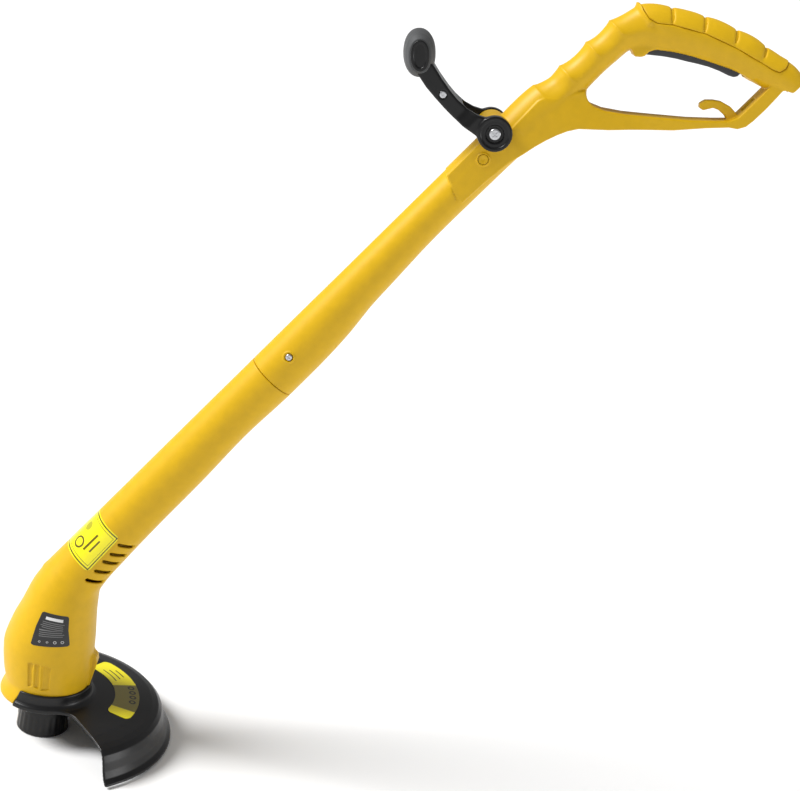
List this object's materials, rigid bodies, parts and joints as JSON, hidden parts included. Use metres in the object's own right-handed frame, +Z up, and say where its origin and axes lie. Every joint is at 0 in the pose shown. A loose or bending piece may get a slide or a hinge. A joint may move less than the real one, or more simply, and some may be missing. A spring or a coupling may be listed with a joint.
{
  "type": "string trimmer",
  "caption": "Corded electric string trimmer: clamshell motor head with bump-feed spool and guard, straight shaft, D-handle with long trigger and a swinging forward handle.",
  "frame": {"origin": "centre of the bump cap's bottom face, on the motor and spool axis", "axes": "+Z up along the motor axis, +X from the head towards the operator's grip, -Y the operator's left"},
  "size_m": [0.6804, 0.242, 0.8469],
  "materials": {
    "yellow_shell": "satin moulded yellow plastic",
    "soft_yellow": "satin soft-touch yellow plastic",
    "black_plastic": "semi-gloss black plastic",
    "guard_black": "semi-gloss black plastic",
    "grey_grip": "matt grey soft grip",
    "trigger_grey": "dark grey plastic",
    "screw_steel": "zinc-plated steel",
    "steel": "ground steel",
    "lamination": "lacquered laminated steel",
    "copper": "enamelled copper wire",
    "comm_copper": "bare copper",
    "carbon": "carbon",
    "white_plastic": "natural nylon",
    "cutting_line": "orange nylon line",
    "label_yellow": "printed vinyl label",
    "label_black": "printed vinyl label",
    "wire_black": "insulated wire"
  },
  "bodies": {
    "housing": {"lower_shell_left": "yellow_shell", "lower_shell_right": "yellow_shell", "upper_shell_left": "yellow_shell", "upper_shell_right": "yellow_shell", "grip_pad": "soft_yellow", "lower_shell_screws": "screw_steel", "upper_shell_screws": "screw_steel", "tube_joint_screw": "screw_steel", "screw_plug": "yellow_shell", "noise_label": "label_yellow", "rating_label": "label_black", "guard": "guard_black", "guard_screws": "screw_steel", "guard_sticker": "label_yellow", "line_cutter_blade": "steel", "blade_screws": "screw_steel", "lower_bearing": "steel", "upper_bearing": "steel", "motor_lower_frame": "white_plastic", "motor_upper_frame": "white_plastic", "stator_core": "lamination", "field_coils": "copper", "brush_holders": "comm_copper", "carbon_brushes": "carbon", "brush_springs": "steel", "wiring_loom": "wire_black", "capacitor": "white_plastic", "switch_body": "black_plastic", "trigger_pin": "steel", "trigger_spring": "steel", "inlet_body": "black_plastic", "inlet_pins": "screw_steel", "pivot_bolt": "screw_steel", "pivot_nut": "screw_steel", "pivot_washers": "steel"},
    "rotor": {"spool_base": "black_plastic", "spool_nut": "screw_steel", "spool_cap": "black_plastic", "line_eyelets": "steel", "feed_spring": "steel", "motor_shaft": "steel", "armature_core": "lamination", "armature_windings": "copper", "winding_sleeves": "white_plastic", "commutator": "comm_copper", "cooling_fan": "black_plastic"},
    "bump_head": {"bump_button": "black_plastic", "line_spool": "black_plastic", "line_winding": "cutting_line"},
    "trigger_lever": {"trigger": "trigger_grey"},
    "plunger": {"switch_plunger": "white_plastic"},
    "forward_handle": {"aux_handle_left": "black_plastic", "aux_handle_right": "black_plastic", "aux_grip_sleeve": "grey_grip", "aux_end_caps": "black_plastic", "aux_screw": "screw_steel"}
  },
  "joints": [
    {"name": "motor_spin", "type": "hinge", "parent": "housing", "child": "rotor", "pos_m": [0, 0, 0.05], "axis": [0, 0, 1], "continuous": true},
    {"name": "bump_press", "type": "slide", "parent": "rotor", "child": "bump_head", "axis": [0, 0, 1], "range_m": [0, 0.004], "stiffness_N_per_m": 2500, "springref_m": -0.004, "deforming": ["feed_spring"]},
    {"name": "trigger_pull", "type": "hinge", "parent": "housing", "child": "trigger_lever", "pos_m": [0.56579, 0, 0.80629], "axis": [0, 1, 0], "range_deg": [0, 3.5], "stiffness_Nm_per_rad": 4, "springref_deg": -3.44, "deforming": ["trigger_spring"]},
    {"name": "plunger_slide", "type": "slide", "parent": "housing", "child": "plunger", "axis": [0.0819, 0, 0.9966], "range_m": [0, 0.0046]},
    {"name": "handle_swing", "type": "hinge", "parent": "housing", "child": "forward_handle", "pos_m": [0.35114, 0, 0.70633], "axis": [0, 1, 0], "range_deg": [-60, 40]}
  ],
  "couplings": [
    {"joint": "plunger_slide", "follows": "trigger_pull", "m_per_rad": 0.066}
  ]
}
